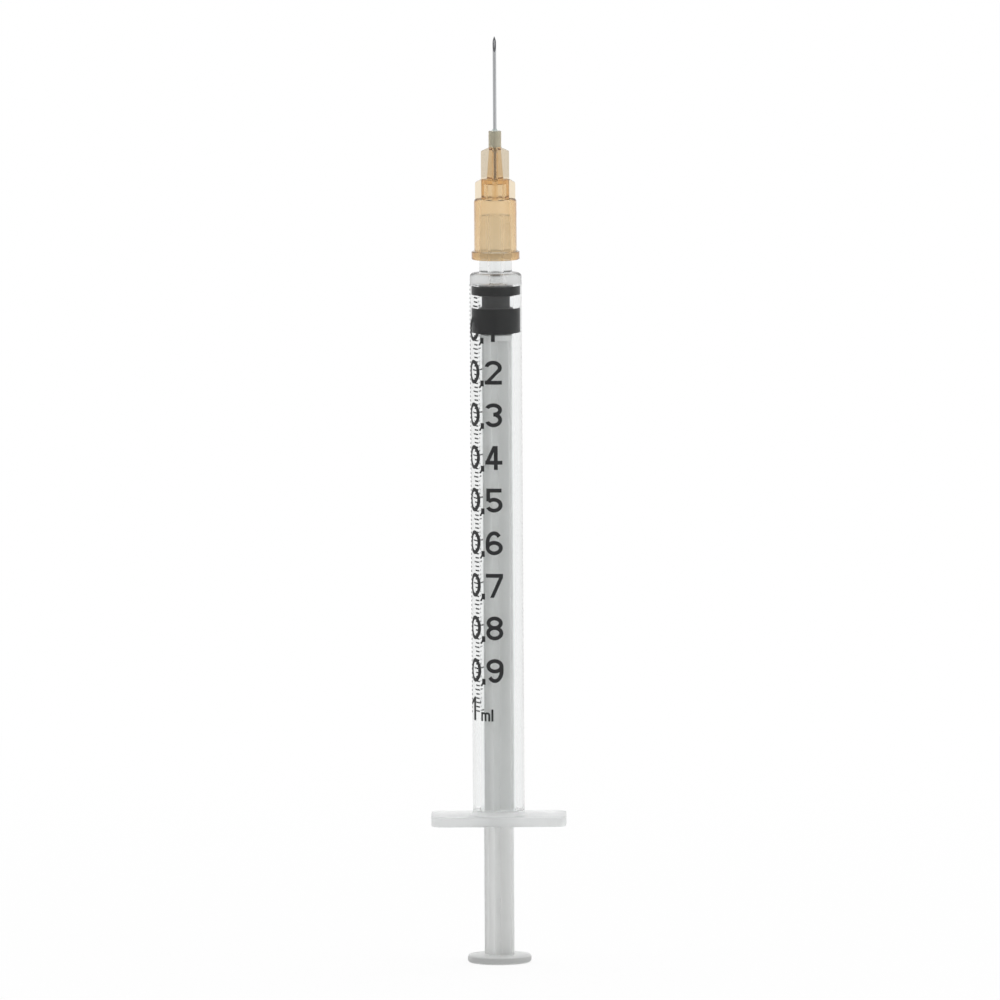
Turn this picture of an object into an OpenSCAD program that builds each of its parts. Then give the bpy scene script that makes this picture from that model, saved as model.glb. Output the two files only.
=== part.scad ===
// One-millilitre syringe with a detachable Luer needle, standing on its thumb press, needle up.
// Millimetres. The origin is the centre of the thumb press's underside, and +Z runs along the needle.

/* [Thumb press] */
// Diameter of the thumb press
press_d = 8.5; // [7:0.1:12]
// Thickness of the thumb press
press_t = 1.1; // [0.9:0.05:2]
// Radius that rounds the rim of the thumb press
press_round = 0.4; // [0.1:0.05:0.4]

/* [Plunger rod] */
// Width of the rod across two opposite ribs
rod_w = 4.2; // [3.4:0.05:4.4]
// Thickness of one rib
rib_t = 1.0; // [0.7:0.05:1.4]
// Length of the ribs, from the thumb press to the pusher disc
rod_l = 82.2; // [78:0.1:90]
// Turn of the ribs at rest, seen from above, in degrees
rod_turn = -30; // [-90:5:90]
// Diameter of the pusher disc behind the stopper
pusher_d = 4.3; // [3.8:0.05:4.4]
// Thickness of the pusher disc
pusher_t = 0.8; // [0.5:0.05:1.2]
// Diameter of the neck between the pusher disc and the head
head_neck_d = 1.6; // [1.2:0.05:1.8]
// Length of that neck
head_neck_l = 1.4; // [1:0.05:2]
// Largest diameter of the head that snaps into the stopper
head_d = 2.3; // [1.9:0.05:2.6]
// Diameter of the head's blunt point
head_tip_d = 1.2; // [0.8:0.05:1.6]
// Length of the head
head_l = 2.0; // [1.4:0.05:2.6]

/* [Stopper] */
// Height of the rear sealing rib, which holds the rod's head
main_rib_h = 3.5; // [3.2:0.05:5]
// Height of the waist between the two ribs
waist_h = 1.55; // [1:0.05:2.2]
// Height of the front sealing rib
front_rib_h = 1.4; // [1:0.05:2]
// Diameter of the waist
waist_d = 3.75; // [3:0.05:4.2]
// Chamfer on the edges of both ribs
rib_chamfer = 0.15; // [0.05:0.05:0.3]

/* [Barrel] */
// Diameter of the bore
bore_d = 4.73; // [4.6:0.01:5.2]
// Thickness of the tube's wall
barrel_wall = 1.08; // [0.8:0.01:1.4]
// Depth of the bore, from the flange's open end to the front wall
bore_l = 72.4; // [70:0.1:78]
// Thickness of the front wall
front_wall = 1.35; // [1:0.05:2]
// Radius that rounds the shoulder
shoulder_round = 0.5; // [0.2:0.05:0.9]
// Height of the ridge in the bore that keeps the stopper in
ridge_h = 0.1; // [0.05:0.01:0.13]
// Width of that ridge along the bore
ridge_w = 0.8; // [0.5:0.05:1.4]
// Distance of the ridge from the open end
ridge_inset = 1.2; // [0.8:0.05:2.5]
// Chamfer at the bore's open end
mouth_chamfer = 0.25; // [0.1:0.05:0.4]

/* [Finger flange] */
// Width of the flange from finger to finger
flange_w = 18; // [16:0.5:24]
// Depth of the flange from front to back
flange_depth = 9.4; // [8:0.1:12]
// Thickness of the flange
flange_t = 1.3; // [1:0.05:2]
// Radius of the flange's corners
flange_corner = 1.6; // [0.5:0.1:3]
// Radius of the fillet between the flange and the tube
flange_fillet = 0.5; // [0.2:0.05:0.9]

/* [Luer nozzle] */
// Diameter of the nozzle at its tip
nozzle_tip_d = 3.93; // [3.9:0.01:4]
// Length of the nozzle
nozzle_l = 7.8; // [7.5:0.1:10]
// Diameter of the channel through the nozzle
channel_d = 1.6; // [1.2:0.1:2.2]
// Widening of the nozzle's diameter along its length, as a share of that length
luer_taper_share = 0.06; // [0.06:0.001:0.06]

/* [Needle hub] */
// Bare length of nozzle between the shoulder and the hub
hub_gap = 1.8; // [1:0.1:2.2]
// Diameter of the collar at the hub's mouth
collar_d = 6.4; // [6.1:0.05:7]
// Height of the collar
collar_h = 1.1; // [0.7:0.05:1.6]
// Diameter of the hub's socket outside
socket_d = 5.65; // [5.4:0.05:6]
// Length of the hub's socket outside, with the collar
socket_l = 8.1; // [7.9:0.05:9.5]
// Thickness between the end of the tapered socket and the core above it
socket_floor = 0.2; // [0.15:0.05:0.6]
// Diameter of the hub's core above the socket
step_d = 3.8; // [3.2:0.05:4.4]
// Height of that core
step_h = 2.6; // [1.8:0.05:3.6]
// Width across two fins beside that core
step_fin_w = 5.35; // [4.4:0.05:5.4]
// Diameter of the nose's core where it starts
nose_d = 2.3; // [2:0.05:2.8]
// Height of the nose
nose_h = 4.2; // [3:0.05:5]
// Width across two fins beside the nose
nose_fin_w = 3.75; // [3:0.05:4.2]
// Thickness of a fin
fin_t = 0.75; // [0.5:0.05:1]
// Height over which the tops of the fins slope away
fin_slope = 0.45; // [0.2:0.05:0.8]
// Diameter of the neck that grips the cannula
neck_d = 1.7; // [1.5:0.05:1.9]
// Length of the neck
neck_l = 2.25; // [2.25:0.05:4]
// Diameter of the passage between the socket and the cannula
passage_d = 2.1; // [1.4:0.05:2.4]
// Length of that passage above the socket
passage_l = 1.9; // [1.4:0.05:2.2]

/* [Cannula and its adhesive] */
// Outer diameter of the cannula
cannula_d = 0.46; // [0.4:0.01:0.52]
// Bore of the cannula
cannula_bore_d = 0.25; // [0.2:0.01:0.3]
// Length of the cannula outside the hub
cannula_free_l = 12.6; // [8:0.05:16]
// Length of the cannula inside the hub
cannula_held_l = 6.55; // [6.2:0.05:7]
// Length of the ground bevel at the point
bevel_l = 2.1; // [1.4:0.05:2.6]
// Angle of the two lancet cuts at the very point, from the cannula's axis
lancet_angle = 21; // [16:1:28]
// Turn of each lancet cut around the cannula
lancet_turn = 42; // [30:1:55]
// Diameter of the adhesive's well in the neck
well_d = 1.15; // [1:0.05:1.3]
// Depth of that well
well_l = 2.15; // [1.4:0.05:2.2]
// Height of the adhesive's meniscus above the neck
meniscus_h = 0.3; // [0.1:0.05:0.5]

/* [Scale] */
// Length of the scale from 0 to 1 ml
scale_l = 57; // [57:0.1:62]
// Number of numbered steps on the scale
numbered_steps = 10; // [10:1:10]
// Number of graduations in one numbered step
fine_steps = 10; // [10:1:10]
// Length of a numbered graduation, around the barrel
long_line_l = 3.2; // [2.4:0.1:4]
// Length of the graduation halfway between two numbers
half_line_l = 2.5; // [1.8:0.1:3]
// Length of every other graduation
short_line_l = 1.8; // [1.2:0.1:2.4]
// Width of a graduation's line
line_w = 0.2; // [0.1:0.01:0.3]
// Width of a digit, around the barrel
digit_w = 2.3; // [1.8:0.05:2.6]
// Height of a digit
digit_h = 3.2; // [2.4:0.05:3.8]
// Width of the strokes of a digit
stroke_w = 0.52; // [0.3:0.01:0.6]
// Space between the characters of a number
letter_gap = 0.17; // [0.1:0.01:0.4]
// Height of the small letters of the unit
letter_h = 1.2; // [0.9:0.05:1.5]
// Width of the letter m
letter_w = 1.35; // [1.2:0.05:1.8]
// Width of the strokes of the unit's letters
letter_stroke_w = 0.26; // [0.18:0.01:0.3]
// Turn of a number's last digit around the barrel, from the front, in degrees
digit_turn = -7; // [-30:1:30]
// Rise of the last number and its unit above the other numbers' places
unit_rise = 0.55; // [0:0.05:0.8]
// Turn of the last number and its unit around the barrel, from those places, in degrees
unit_shift = -3; // [-4:1:0]
// Thickness of the printed ink
ink_t = 0.03; // [0.02:0.01:0.06]

/* [Fits] */
// Radial clearance of the stopper's ribs in the bore
seal_gap = 0.01; // [0.01:0.005:0.02]
// Clearance of the rod's head in the stopper, radial and axial
head_gap = 0.05; // [0.03:0.01:0.1]
// Clearance between the pusher disc and the stopper
pusher_gap = 0.1; // [0.05:0.01:0.2]
// Clearance between the stopper and the front wall, at rest
front_gap = 0.3; // [0.1:0.05:0.5]
// Clearance of the hub's socket on the nozzle
luer_gap = 0.01; // [0.01:0.005:0.02]
// Clearance of the cannula in the hub's hole
cannula_gap = 0.02; // [0.01:0.01:0.05]
// Clearance of the adhesive around the cannula and in its well
glue_gap = 0.005; // [0.005:0.005:0.01]
// Clearance between the ink and the barrel
ink_gap = 0.01; // [0.01:0.005:0.02]

/* [Hidden] */
$fn = 96;

// Length by which a cut or a joined shape runs past its neighbour
overrun = 0.5;

// Heights of the plunger
pusher_z = press_t + rod_l;
head_neck_z = pusher_z + pusher_t;
head_z = head_neck_z + head_neck_l;
stopper_z = head_neck_z + pusher_gap;
waist_z = stopper_z + main_rib_h;
front_rib_z = waist_z + waist_h;
stopper_top_z = front_rib_z + front_rib_h;

// Heights and sizes of the barrel
barrel_r = bore_d / 2 + barrel_wall;
front_wall_z = stopper_top_z + front_gap;
flange_z = front_wall_z - bore_l;
shoulder_z = front_wall_z + front_wall;
nozzle_tip_z = shoulder_z + nozzle_l;
nozzle_root_d = nozzle_tip_d + luer_taper_share * nozzle_l;

// Heights and sizes of the needle
hub_z = shoulder_z + hub_gap;
mouth_d = nozzle_root_d - luer_taper_share * hub_gap + 2 * luer_gap;
socket_depth = socket_l - socket_floor;
socket_end_d = mouth_d - luer_taper_share * socket_depth;
socket_end_z = hub_z + socket_depth;
step_z = hub_z + socket_l;
nose_z = step_z + step_h;
neck_z = nose_z + nose_h;
hub_top_z = neck_z + neck_l;
passage_z = step_z + passage_l;
cannula_z = hub_top_z - cannula_held_l;
point_z = hub_top_z + cannula_free_l;
cannula_hole_d = cannula_d + 2 * cannula_gap;

// Heights and places of the print
zero_z = stopper_top_z;
step_l = scale_l / numbered_steps;
fine_l = step_l / fine_steps;
ink_r = barrel_r + ink_gap;
comma_w = stroke_w;
comma_drop = stroke_w;
comma_turn = digit_turn - arc_turn(digit_w / 2 + letter_gap + comma_w / 2);
lead_turn = comma_turn - arc_turn(comma_w / 2 + letter_gap + digit_w / 2);
line_turn = lead_turn - arc_turn(digit_w / 2 + letter_gap);
one_turn = lead_turn + unit_shift;
unit_turn = comma_turn + arc_turn((letter_w - comma_w) / 2) + unit_shift;

// Shapes of the digits, as shares of a digit's width or height
five_bowl_share = 0.62;
six_bowl_share = 0.6;
eight_top_share = 0.48;
four_bar_share = 0.3;
four_stem_share = 0.74;
three_waist_share = 0.53;
two_bowl_share = 0.56;
flag_share = 0.34;
flag_foot_share = 0.62;
bowl_end = -40;
bowl_steps = 20;

// The angle in degrees that an arc of length l takes on the barrel
function arc_turn(l) = l / barrel_r * 180 / PI;

// Points on an ellipse about a centre, from one angle to another
function arc_points(centre, radii, from, to) = [
    for (i = [0:bowl_steps])
        let (a = from + (to - from) * i / bowl_steps)
            centre + [radii.x * cos(a), radii.y * sin(a)]
];

// A band of the given stroke along an ellipse, whose outer edge has the radii given
module bow(centre, radii, stroke, from, to) {
    inner = radii - [stroke, stroke];
    polygon(concat(arc_points(centre, radii, from, to), arc_points(centre, inner, to, from)));
}

// A whole ring, whose outer edge has the radii given
module ring(centre, radii, stroke) {
    difference() {
        polygon(arc_points(centre, radii, 0, 360));
        polygon(arc_points(centre, radii - [stroke, stroke], 0, 360));
    }
}

// A straight stroke between two points, whose ends are cut level or upright as its side says
module slant(from, to, side) {
    polygon([from, from + side, to + side, to]);
}

// Each digit stands on the origin, and is centred across its width
module digit(value) {
    w = digit_w;
    h = digit_h;
    s = stroke_w;
    left = -w / 2;
    if (value == 0) {
        ring([0, h / 2], [w / 2, h / 2], s);
    }
    if (value == 1) {
        reach = w * flag_share;
        foot = h * flag_foot_share;
        underside = foot + (h - s - foot) * reach / (reach + s / 2);
        polygon([
            [-s / 2, 0], [s / 2, 0], [s / 2, h], [0, h],
            [-s / 2 - reach, foot + s], [-s / 2 - reach, foot], [-s / 2, underside]
        ]);
    }
    if (value == 2) {
        r = h * (1 - two_bowl_share) / 2 + s / 2;
        end = [(w / 2 - s) * cos(bowl_end), h - r + (r - s) * sin(bowl_end)];
        bow([0, h - r], [w / 2, r], s, 170, bowl_end);
        slant([left, s / 2], end, [s * 6 / 5, 0]);
        translate([left, 0]) square([w, s]);
    }
    if (value == 3) {
        r = h * (1 - three_waist_share) / 2 + s / 4;
        low = h * three_waist_share / 2 + s / 4;
        bow([0, h - r], [w / 2, r], s, 160, -90);
        bow([0, low], [w / 2, low], s, 90, -160);
    }
    if (value == 4) {
        stem = left + w * four_stem_share - s;
        translate([stem, 0]) square([s, h]);
        translate([left, h * four_bar_share - s / 2]) square([w, s]);
        slant([left, h * four_bar_share], [stem - s / 4, h], [s, 0]);
    }
    if (value == 5) {
        low = h * five_bowl_share / 2;
        bow([0, low], [w / 2, low], s, 145, -155);
        translate([left + s / 4, low * 3 / 2]) square([s, h - low * 3 / 2]);
        translate([left + s / 4, h - s]) square([w - s / 2, s]);
    }
    if (value == 6) {
        low = h * six_bowl_share / 2;
        ring([0, low], [w / 2, low], s);
        bow([0, h / 2], [w / 2, h / 2], s, 40, 180);
        translate([left, low]) square([s, h / 2 - low]);
    }
    if (value == 7) {
        translate([left, h - s]) square([w, s]);
        slant([left + w / 4, 0], [w / 2 - s, h - s], [s, 0]);
    }
    if (value == 8) {
        r = h * eight_top_share / 2 + s / 4;
        low = h * (1 - eight_top_share) / 2 + s / 4;
        ring([0, h - r], [w / 2 - s / 8, r], s);
        ring([0, low], [w / 2, low], s);
    }
    if (value == 9) {
        top = h * six_bowl_share / 2;
        ring([0, h - top], [w / 2, top], s);
        bow([0, h / 2], [w / 2, h / 2], s, -140, 0);
        translate([w / 2 - s, h / 2]) square([s, h / 2 - top]);
    }
}

// The comma starts on the base line and hangs below it
module comma() {
    translate([-comma_w / 2, -comma_drop / 2]) square([comma_w, comma_w + comma_drop / 2]);
    slant([-comma_w / 2 - comma_drop / 2, -comma_drop], [-comma_w / 2, 0], [comma_w / 2, 0]);
}

// The letters of the unit, centred across the letter m
module unit_letters() {
    s = letter_stroke_w;
    left = -letter_w / 2;
    stride = (letter_w - s) / 2;
    arch = [(stride + s) / 2, letter_h / 3];
    for (stem = [0:2])
        translate([left + stem * stride, 0]) square([s, letter_h - arch.y * (stem == 0 ? 0 : 1)]);
    for (side = [0, 1])
        bow([left + side * stride + arch.x, letter_h - arch.y], arch, s, 0, 180);
    translate([left + letter_w + letter_gap, 0]) square([s, digit_h / 2]);
}

// Lays a flat outline on the barrel, turned from the front and raised to its height
module printed(turn, height) {
    color("#1d1e20") intersection() {
        rotate([0, 0, turn]) translate([0, 0, height]) rotate([90, 0, 0])
            linear_extrude(height = barrel_r + ink_gap + 2 * ink_t) children();
        translate([0, 0, height - digit_h]) difference() {
            cylinder(r = ink_r + ink_t, h = 3 * digit_h);
            translate([0, 0, -overrun]) cylinder(r = ink_r, h = 3 * digit_h + 2 * overrun);
        }
    }
}

// The height at which a character stands for one numbered step of the scale
function number_z(step) = zero_z - step * step_l - digit_h / 2;

module numeral(step) {
    if (step < numbered_steps) {
        printed(lead_turn, number_z(step)) digit(0);
        printed(comma_turn, number_z(step)) comma();
        printed(digit_turn, number_z(step)) digit(step);
    } else {
        printed(one_turn, number_z(step) + unit_rise) digit(1);
    }
}

module unit_mark() {
    printed(unit_turn, number_z(numbered_steps) + unit_rise) unit_letters();
}

// One graduation, an arc of ink around the barrel
module graduation(step, length) {
    color("#1d1e20") translate([0, 0, zero_z - step * fine_l - line_w / 2])
        rotate([0, 0, line_turn - 90 - arc_turn(length)])
            rotate_extrude(angle = arc_turn(length)) translate([ink_r, 0]) square([ink_t, line_w]);
}

module long_graduations() {
    for (step = [0:fine_steps:numbered_steps * fine_steps]) graduation(step, long_line_l);
}

module half_graduations() {
    for (step = [fine_steps / 2:fine_steps:numbered_steps * fine_steps]) graduation(step, half_line_l);
}

module short_graduations() {
    for (step = [1:numbered_steps * fine_steps])
        if (step % (fine_steps / 2) != 0) graduation(step, short_line_l);
}

// A disc or tube whose outer rim is rounded at the top, and at the bottom too if both is true
module rounded_disc(r, h, round, both) {
    low = both ? round : 0;
    rotate_extrude() union() {
        square([r - round, h]);
        translate([0, low]) square([r, h - round - low]);
        translate([r - round, h - round]) circle(r = round);
        if (both) translate([r - round, round]) circle(r = round);
    }
}

module plunger_rod() {
    color("#e4e7e9") {
        rounded_disc(press_d / 2, press_t, press_round, true);
        rotate([0, 0, rod_turn]) intersection() {
            translate([0, 0, press_t - press_round]) cylinder(d = rod_w, h = rod_l + press_round + pusher_t / 2);
            for (turn = [0, 90])
                rotate([0, 0, turn]) translate([-rod_w, -rib_t / 2, 0])
                    cube([2 * rod_w, rib_t, pusher_z + pusher_t]);
        }
        translate([0, 0, pusher_z]) cylinder(d = pusher_d, h = pusher_t);
        translate([0, 0, head_neck_z - pusher_t / 2]) cylinder(d = head_neck_d, h = head_neck_l + pusher_t);
        translate([0, 0, head_z]) cylinder(d1 = head_d, d2 = head_tip_d, h = head_l);
    }
}

// A sealing rib, chamfered at both edges
module rib(height) {
    r = bore_d / 2 - seal_gap;
    c = rib_chamfer;
    rotate_extrude() polygon([
        [0, 0], [r - c, 0], [r, c], [r, height - c], [r - c, height], [0, height]
    ]);
}

module stopper() {
    cavity_d = head_d + 2 * head_gap;
    cavity_z = head_z - head_gap;
    cavity_l = head_l + 2 * head_gap;
    color("#1f2021") difference() {
        union() {
            translate([0, 0, stopper_z]) rib(main_rib_h);
            translate([0, 0, waist_z - rib_chamfer]) cylinder(d = waist_d, h = waist_h + 2 * rib_chamfer);
            translate([0, 0, front_rib_z]) rib(front_rib_h);
        }
        translate([0, 0, stopper_z - overrun])
            cylinder(d = head_neck_d + 2 * head_gap, h = cavity_z - stopper_z + 2 * overrun);
        translate([0, 0, cavity_z]) cylinder(d = cavity_d, h = cavity_l);
    }
}

module flange() {
    inner = [flange_w - 2 * flange_corner, flange_depth - 2 * flange_corner];
    translate([0, 0, flange_z]) linear_extrude(height = flange_t) union() {
        square([flange_w, inner.y], center = true);
        square([inner.x, flange_depth], center = true);
        for (x = [-1, 1], y = [-1, 1])
            translate([x * inner.x / 2, y * inner.y / 2]) circle(r = flange_corner);
    }
    translate([0, 0, flange_z + flange_t]) rotate_extrude() translate([barrel_r - barrel_wall / 2, 0])
        difference() {
            square([flange_fillet + barrel_wall / 2, flange_fillet]);
            translate([flange_fillet + barrel_wall / 2, flange_fillet]) circle(r = flange_fillet);
        }
}

module barrel() {
    color("#dfe6e8") {
        difference() {
            union() {
                flange();
                translate([0, 0, flange_z])
                    rounded_disc(barrel_r, shoulder_z - flange_z, shoulder_round, false);
                translate([0, 0, shoulder_z - front_wall / 2])
                    cylinder(
                        d1 = nozzle_root_d + luer_taper_share * front_wall / 2,
                        d2 = nozzle_tip_d,
                        h = nozzle_l + front_wall / 2
                    );
            }
            translate([0, 0, flange_z - overrun]) cylinder(d = bore_d, h = bore_l + overrun);
            translate([0, 0, flange_z])
                cylinder(d1 = bore_d + 2 * mouth_chamfer, d2 = bore_d, h = mouth_chamfer);
            translate([0, 0, front_wall_z - overrun])
                cylinder(d = channel_d, h = front_wall + nozzle_l + 2 * overrun);
        }
        translate([0, 0, flange_z + ridge_inset]) rotate_extrude() polygon([
            [bore_d / 2 + barrel_wall / 2, 0], [bore_d / 2, 0], [bore_d / 2 - ridge_h, ridge_w / 3],
            [bore_d / 2 - ridge_h, ridge_w * 2 / 3], [bore_d / 2, ridge_w],
            [bore_d / 2 + barrel_wall / 2, ridge_w]
        ]);
    }
}

// Four fins around the needle's axis, whose tops slope in to the core they stand on
module fins(width, core, base, height) {
    for (turn = [0, 90])
        rotate([0, 0, turn]) translate([0, fin_t / 2, base]) rotate([90, 0, 0])
            linear_extrude(height = fin_t) polygon([
                [-width / 2, 0], [width / 2, 0], [width / 2, height - fin_slope], [core / 2, height],
                [-core / 2, height], [-width / 2, height - fin_slope]
            ]);
}

module needle_hub() {
    color("#e0bf92") difference() {
        union() {
            translate([0, 0, hub_z]) cylinder(d = collar_d, h = collar_h);
            translate([0, 0, hub_z]) cylinder(d = socket_d, h = socket_l);
            translate([0, 0, step_z - socket_floor / 2])
                cylinder(d = step_d, h = step_h + socket_floor / 2);
            translate([0, 0, nose_z - fin_slope]) cylinder(d1 = nose_d, d2 = neck_d, h = nose_h + fin_slope);
            translate([0, 0, neck_z - fin_slope]) cylinder(d = neck_d, h = neck_l + fin_slope);
            fins(step_fin_w, step_d, step_z - socket_floor / 2, step_h + socket_floor / 2);
            fins(nose_fin_w, neck_d, nose_z - fin_slope, nose_h + fin_slope);
        }
        translate([0, 0, hub_z - overrun])
            cylinder(
                d1 = mouth_d + luer_taper_share * overrun,
                d2 = socket_end_d,
                h = socket_depth + overrun
            );
        translate([0, 0, socket_end_z - overrun]) cylinder(d = passage_d, h = passage_z - socket_end_z + overrun);
        translate([0, 0, passage_z - overrun]) cylinder(d = cannula_hole_d, h = hub_top_z - passage_z + 2 * overrun);
        translate([0, 0, hub_top_z - well_l]) cylinder(d = well_d, h = well_l + overrun);
    }
}

// Half-space in front of a plane that leans back from the needle's point
module point_cut(turn, angle) {
    translate([0, cannula_d / 2, point_z]) rotate([0, 0, turn]) rotate([-angle, 0, 0])
        translate([-bevel_l, -2 * bevel_l, -2 * bevel_l]) cube([2 * bevel_l, 2 * bevel_l, 4 * bevel_l]);
}

module cannula() {
    color("#b4b8bb") difference() {
        translate([0, 0, cannula_z]) cylinder(d = cannula_d, h = point_z - cannula_z);
        translate([0, 0, cannula_z - overrun]) cylinder(d = cannula_bore_d, h = point_z - cannula_z + 2 * overrun);
        point_cut(0, atan(cannula_d / bevel_l));
        for (side = [-1, 1]) point_cut(side * lancet_turn, lancet_angle);
    }
}

module adhesive_bead() {
    inner = cannula_d / 2 + glue_gap;
    outer = well_d / 2 - glue_gap;
    color("#a9a796") translate([0, 0, hub_top_z - well_l + glue_gap]) rotate_extrude() polygon([
        [inner, 0], [outer, 0], [outer, well_l - glue_gap], [inner, well_l - glue_gap + meniscus_h]
    ]);
}

barrel();
stopper();
plunger_rod();
needle_hub();
cannula();
adhesive_bead();
long_graduations();
half_graduations();
short_graduations();
numeral(1);  // numeral_0_1
numeral(2);  // numeral_0_2
numeral(3);  // numeral_0_3
numeral(4);  // numeral_0_4
numeral(5);  // numeral_0_5
numeral(6);  // numeral_0_6
numeral(7);  // numeral_0_7
numeral(8);  // numeral_0_8
numeral(9);  // numeral_0_9
numeral(10);  // numeral_1
unit_mark();
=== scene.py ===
"""Looks of a slim 1 ml syringe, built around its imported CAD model.

Sizes are in millimetres unless a name says otherwise, and MM turns them into Blender's metres. +Z runs along the
syringe towards the needle's point, and the numerals face -Y, where the camera stands. The syringe stands on its thumb
press at z = 0 with its plunger fully in.
"""

import logging
import math
from dataclasses import dataclass, field
from enum import Enum
from typing import Sequence

import bmesh
import bpy
from mathutils import Matrix, Vector


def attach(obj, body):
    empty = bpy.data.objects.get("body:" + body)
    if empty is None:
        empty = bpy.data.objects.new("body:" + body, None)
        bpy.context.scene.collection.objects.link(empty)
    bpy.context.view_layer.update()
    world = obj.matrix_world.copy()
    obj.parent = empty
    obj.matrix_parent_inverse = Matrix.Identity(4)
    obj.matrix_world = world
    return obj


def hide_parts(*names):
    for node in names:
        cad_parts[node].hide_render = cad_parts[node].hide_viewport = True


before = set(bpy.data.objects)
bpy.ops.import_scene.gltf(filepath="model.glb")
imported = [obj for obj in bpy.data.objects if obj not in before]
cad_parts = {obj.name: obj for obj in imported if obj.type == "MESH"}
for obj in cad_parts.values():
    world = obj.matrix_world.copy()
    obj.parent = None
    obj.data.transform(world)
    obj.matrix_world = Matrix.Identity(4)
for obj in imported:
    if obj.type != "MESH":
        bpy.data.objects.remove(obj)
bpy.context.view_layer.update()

MM = 0.001
ORIGIN = Vector((0.0, 0.0, 0.0))
AXIS = Vector((0.0, 0.0, 1.0))
BLACK = (0.0, 0.0, 0.0, 1.0)
WHITE = (1.0, 1.0, 1.0, 1.0)
# Points that are nearer to each other than this, in metres, become one
MERGE = 1e-7
# Angle in degrees from which an edge stays sharp
SHARP = 35.0
# Steps around wide, medium and slim round pieces
FINE = 160
MEDIUM = 96
COARSE = 64

Colour = tuple[float, float, float]
Rgba = tuple[float, float, float, float]
Range = tuple[float, float]
Outline = Sequence[tuple[float, float]]
Element = bmesh.types.BMVert | bmesh.types.BMEdge
Value = float | bpy.types.NodeSocket

log = logging.getLogger("syringe")


# Shapes


class Join(Enum):
    """How a second solid is joined to a first."""

    ADD = "UNION"
    CUT = "DIFFERENCE"


class Rounding(Enum):
    """What is rounded: corners of a flat outline, or edges of a solid."""

    CORNERS = "VERTICES"
    EDGES = "EDGES"


@dataclass(frozen=True)
class Fillet:
    """Rounding of some corners of an outline.

    Args:
        radius: Radius of the rounding.
        corners: Positions of the rounded corners in the outline.
    """

    radius: float
    corners: tuple[int, ...]


def soften(bm: bmesh.types.BMesh, kind: Rounding, elements: Sequence[Element], radius: float, steps: int = 5) -> None:
    """Rounds corners of a flat outline, or edges of a solid.

    Args:
        bm: The mesh that holds them.
        kind: Which of the two they are.
        elements: The corners or edges to round.
        radius: How far from each of them the rounding starts.
        steps: Number of edges or faces in each rounding.
    """
    bmesh.ops.bevel(
        bm,
        geom=list(elements),
        offset=radius * MM,
        offset_type="OFFSET",
        segments=steps,
        profile=0.5,
        affect=kind.value,
        material=-1,
    )


def turned(outline: Outline, fillets: Sequence[Fillet] = (), segments: int = FINE) -> bmesh.types.BMesh:
    """Turns a closed outline about the syringe's axis.

    Args:
        outline: Corners as (radius, height), in order around the outline.
        fillets: Corners to round before the turn.
        segments: Number of steps in the full turn.

    Returns:
        A closed solid.
    """
    bm = bmesh.new()
    corners = [bm.verts.new((r * MM, 0.0, z * MM)) for r, z in outline]
    bm.faces.new(corners)
    for fillet in fillets:
        soften(bm, Rounding.CORNERS, [corners[i] for i in fillet.corners], fillet.radius)
    bmesh.ops.delete(bm, geom=list(bm.faces), context="FACES_ONLY")
    on_axis = [edge for edge in bm.edges if all(abs(v.co.x) < MERGE for v in edge.verts)]
    bmesh.ops.delete(bm, geom=on_axis, context="EDGES")
    bmesh.ops.spin(
        bm,
        geom=list(bm.verts) + list(bm.edges),
        cent=ORIGIN,
        axis=AXIS,
        angle=math.tau,
        steps=segments,
        use_merge=True,
    )
    bmesh.ops.remove_doubles(bm, verts=bm.verts, dist=MERGE)
    bmesh.ops.recalc_face_normals(bm, faces=bm.faces)
    return bm


def raised(bm: bmesh.types.BMesh, face: bmesh.types.BMFace, rise: Vector) -> None:
    """Extrudes a flat face into a closed prism.

    Args:
        bm: The mesh that holds the face.
        face: The prism's first end.
        rise: From the first end to the other, in metres.
    """
    top = bmesh.ops.extrude_face_region(bm, geom=[face], use_keep_orig=True)["geom"]
    moved = [item for item in top if isinstance(item, bmesh.types.BMVert)]
    bmesh.ops.translate(bm, verts=moved, vec=rise)
    bmesh.ops.recalc_face_normals(bm, faces=bm.faces)


def block(low: Vector, high: Vector) -> bmesh.types.BMesh:
    """Makes a plain box.

    Args:
        low: Its lowest corner, in millimetres.
        high: The corner across from it.

    Returns:
        A closed solid.
    """
    bm = bmesh.new()
    bmesh.ops.create_cube(bm, size=1.0)
    bmesh.ops.scale(bm, verts=bm.verts, vec=(high - low) * MM)
    bmesh.ops.translate(bm, verts=bm.verts, vec=(high + low) / 2 * MM)
    return bm


def as_object(name: str, bm: bmesh.types.BMesh) -> bpy.types.Object:
    """Makes an object of a mesh, shaded smooth except across sharp edges.

    Args:
        name: Name of the object.
        bm: The mesh, which is freed.

    Returns:
        The object, at the origin, in the scene.
    """
    for face in bm.faces:
        face.smooth = True
    for edge in bm.edges:
        edge.smooth = edge.calc_face_angle(0.0) < math.radians(SHARP)
    mesh = bpy.data.meshes.new(name)
    bm.to_mesh(mesh)
    bm.free()
    obj = bpy.data.objects.new(name, mesh)
    bpy.context.scene.collection.objects.link(obj)
    return obj


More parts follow.
